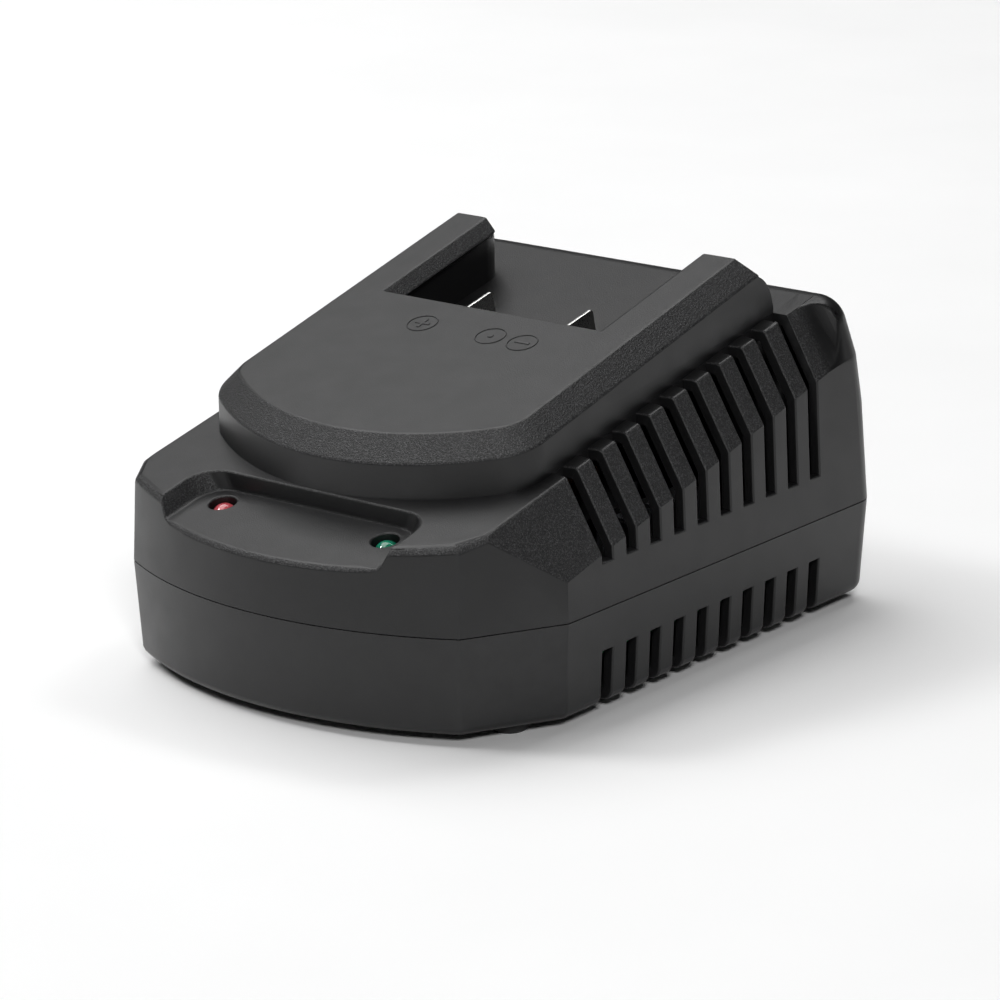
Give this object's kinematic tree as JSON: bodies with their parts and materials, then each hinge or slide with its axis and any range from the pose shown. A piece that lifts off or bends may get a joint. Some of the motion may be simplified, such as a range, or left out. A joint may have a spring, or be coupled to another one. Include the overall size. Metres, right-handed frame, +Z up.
{
  "type": "power tool battery charger",
  "caption": "Desktop charger for slide-on tool batteries: wedge-shaped vented housing, raised dock with lipped rails, blade contacts, red and green lamps and a mains inlet at the rear.",
  "frame": {"origin": "middle of the footprint, on the table under the rubber feet", "axes": "+X to the right as seen from the bowed front, +Y to the rear, +Z up"},
  "size_m": [0.11, 0.142, 0.0792],
  "materials": {
    "housing_plastic": "fine spark-eroded grain",
    "holder_plastic": "smooth moulded",
    "contact_metal": "bright plated",
    "screw_steel": "zinc plated",
    "circuit_board": "solder resist",
    "foot_rubber": "matt",
    "ferrite": "sintered",
    "bobbin_plastic": "moulded",
    "winding_copper": "enamelled wire",
    "capacitor_sleeve": "shrink sleeve",
    "heat_sink_aluminium": "extruded",
    "package_resin": "moulded resin",
    "fuse_glass": "glazed tube with plated ends",
    "clip_metal": "plated spring metal",
    "film_capacitor_case": "moulded box",
    "ceramic_capacitor_coat": "dipped",
    "header_plastic": "moulded",
    "cable_red": "wire sleeve",
    "cable_black": "wire sleeve",
    "cable_yellow": "wire sleeve",
    "lamp_red": "clear tinted lens",
    "lamp_green": "clear tinted lens"
  },
  "bodies": {
    "root": {"lower_housing": "housing_plastic", "upper_housing": "housing_plastic", "terminal_holder": "holder_plastic", "blade_plus": "contact_metal", "blade_minus": "contact_metal", "blade_sense": "contact_metal", "holder_screw_left": "screw_steel", "holder_screw_right": "screw_steel", "main_board": "circuit_board", "board_screw_front_left": "screw_steel", "board_screw_front_right": "screw_steel", "board_screw_rear_left": "screw_steel", "board_screw_rear_right": "screw_steel", "housing_screw_front_left": "screw_steel", "housing_screw_front_right": "screw_steel", "housing_screw_rear_left": "screw_steel", "housing_screw_rear_right": "screw_steel", "foot_front_left": "foot_rubber", "foot_front_right": "foot_rubber", "foot_rear_left": "foot_rubber", "foot_rear_right": "foot_rubber", "transformer_core": "ferrite", "transformer_bobbin": "bobbin_plastic", "transformer_winding": "winding_copper", "bulk_capacitor": "capacitor_sleeve", "output_capacitor_left": "capacitor_sleeve", "output_capacitor_right": "capacitor_sleeve", "primary_heat_sink": "heat_sink_aluminium", "secondary_heat_sink": "heat_sink_aluminium", "switch_transistor": "package_resin", "output_diode": "package_resin", "fuse": "fuse_glass", "fuse_clip_left": "clip_metal", "fuse_clip_right": "clip_metal", "line_choke": "winding_copper", "mains_capacitor": "film_capacitor_case", "bridge_rectifier": "package_resin", "optocoupler": "package_resin", "safety_capacitor": "ceramic_capacitor_coat", "control_chip": "package_resin", "output_inductor": "ferrite", "lamp_header": "header_plastic", "lamp_cable": "cable_red", "lamp_board": "circuit_board", "lamp_red": "lamp_red", "lamp_green": "lamp_green", "lamp_screw_left": "screw_steel", "lamp_screw_right": "screw_steel", "lead_plus": "cable_red", "lead_minus": "cable_black", "lead_sense": "cable_yellow", "inlet_socket": "holder_plastic", "inlet_pin_left": "contact_metal", "inlet_pin_right": "contact_metal"}
  },
  "joints": []
}
